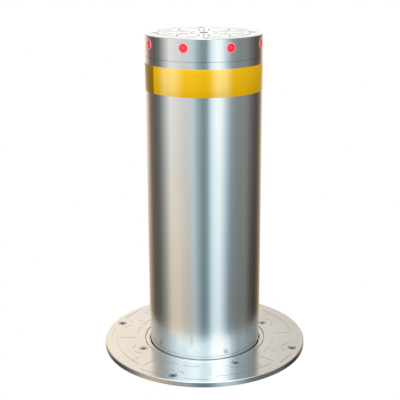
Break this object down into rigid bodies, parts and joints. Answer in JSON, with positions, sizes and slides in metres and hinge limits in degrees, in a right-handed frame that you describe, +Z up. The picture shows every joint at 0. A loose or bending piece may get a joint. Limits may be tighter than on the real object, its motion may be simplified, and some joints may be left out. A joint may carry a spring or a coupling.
{
  "type": "retractable bollard",
  "caption": "Stainless traffic bollard that sinks into an in-ground casing: round post with lit head and yellow band, engraved cover flange, hydraulic drive inside.",
  "frame": {"origin": "on the post axis at the finished ground level, which is the underside of the cover flange", "axes": "+Z up along the post; the view side is -Y; the post is drawn raised"},
  "size_m": [0.3999, 0.4, 1.782],
  "materials": {
    "engraved_stainless": "fine brushed stainless with engraved anti-slip lines",
    "brushed_stainless": "satin brushed stainless steel",
    "dark_fastener": "blackened stainless socket screws",
    "black_rubber": "matt black EPDM rubber",
    "guide_plastic": "natural cast polyamide",
    "galvanised_steel": "hot-dip galvanised steel",
    "machined_steel": "turned and ground steel",
    "zinc_steel": "zinc-plated steel plate",
    "rebar_steel": "mill-finish bar with a light rust bloom",
    "black_plastic": "black moulded polyamide",
    "orange_plastic": "orange moulded switch body",
    "chromed_rod": "hard-chromed and polished rod",
    "reflective_yellow": "yellow retro-reflective tape",
    "red_lens": "lit red polycarbonate lens",
    "potted_board": "potted lamp electronics",
    "painted_barrel": "dark satin machine paint",
    "painted_motor": "blue satin machine paint",
    "copper_winding": "varnished copper winding"
  },
  "bodies": {
    "root": {"cover_flange": "engraved_stainless", "flange_screws": "dark_fastener", "wiper_collar": "brushed_stainless", "wiper_seal": "black_rubber", "guide_housing": "galvanised_steel", "upper_guide_bush": "guide_plastic", "lower_guide_bush": "guide_plastic", "stop_cushion": "black_rubber", "flange_gasket": "black_rubber", "casing_top_flange": "galvanised_steel", "casing_tube": "galvanised_steel", "casing_base": "galvanised_steel", "anchor_bars": "rebar_steel", "guide_rails": "machined_steel", "buffer_columns": "galvanised_steel", "buffer_pads": "black_rubber", "drain_socket": "galvanised_steel", "drain_strainer": "machined_steel", "conduit_socket": "galvanised_steel", "cable_gland": "black_plastic", "rod_foot": "zinc_steel", "foot_bolts": "dark_fastener", "clevis_pin": "machined_steel", "piston_rod": "chromed_rod", "piston": "zinc_steel", "limit_switches": "orange_plastic"},
    "post": {"post_tube": "brushed_stainless", "reflective_band": "reflective_yellow", "lamp_head": "brushed_stainless", "head_gasket": "black_rubber", "lamp_lenses": "red_lens", "lamp_driver": "potted_board", "top_plate": "engraved_stainless", "top_plate_screws": "machined_steel", "load_plate": "zinc_steel", "head_bolts": "dark_fastener", "foot_ring": "zinc_steel", "roller_brackets": "zinc_steel", "roller_pins": "machined_steel", "sensor_magnet": "black_plastic", "hanger_rods": "machined_steel", "hanger_nuts": "dark_fastener", "carrier_plate": "zinc_steel", "cylinder_bolts": "dark_fastener", "cylinder_head": "zinc_steel", "cylinder_barrel": "painted_barrel", "cylinder_gland": "machined_steel", "pump_block": "painted_barrel", "motor_housing": "painted_motor", "motor_stator": "copper_winding", "oil_tank": "painted_barrel", "filler_cap": "black_plastic", "breather_pipe": "machined_steel"},
    "roller_1": {"guide_roller_1": "guide_plastic"},
    "roller_2": {"guide_roller_2": "guide_plastic"},
    "roller_3": {"guide_roller_3": "guide_plastic"},
    "roller_4": {"guide_roller_4": "guide_plastic"},
    "rotor": {"motor_rotor": "machined_steel"},
    "key": {"release_key": "dark_fastener"}
  },
  "joints": [
    {"name": "post_lift", "type": "slide", "parent": "root", "child": "post", "axis": [0, 0, 1], "range_m": [-0.61, 0]},
    {"name": "roller_1_roll", "type": "hinge", "parent": "post", "child": "roller_1", "pos_m": [0.08393, 0.08393, -0.245], "axis": [-0.7071, 0.7071, 0], "range_deg": [-2340, 10]},
    {"name": "roller_2_roll", "type": "hinge", "parent": "post", "child": "roller_2", "pos_m": [-0.08393, 0.08393, -0.245], "axis": [-0.7071, -0.7071, 0], "range_deg": [-2340, 10]},
    {"name": "roller_3_roll", "type": "hinge", "parent": "post", "child": "roller_3", "pos_m": [-0.08393, -0.08393, -0.245], "axis": [0.7071, -0.7071, 0], "range_deg": [-2340, 10]},
    {"name": "roller_4_roll", "type": "hinge", "parent": "post", "child": "roller_4", "pos_m": [0.08393, -0.08393, -0.245], "axis": [0.7071, 0.7071, 0], "range_deg": [-2340, 10]},
    {"name": "motor_spin", "type": "hinge", "parent": "post", "child": "rotor", "pos_m": [-0.05, 0, 0.4], "axis": [0, 0, 1], "continuous": true},
    {"name": "release_turn", "type": "hinge", "parent": "post", "child": "key", "pos_m": [0, 0, 0.6], "axis": [0, 0, 1], "range_deg": [0, 90]}
  ],
  "couplings": [
    {"joint": "roller_1_roll", "follows": "post_lift", "rad_per_m": 66.667},
    {"joint": "roller_2_roll", "follows": "post_lift", "rad_per_m": 66.667},
    {"joint": "roller_3_roll", "follows": "post_lift", "rad_per_m": 66.667},
    {"joint": "roller_4_roll", "follows": "post_lift", "rad_per_m": 66.667}
  ]
}
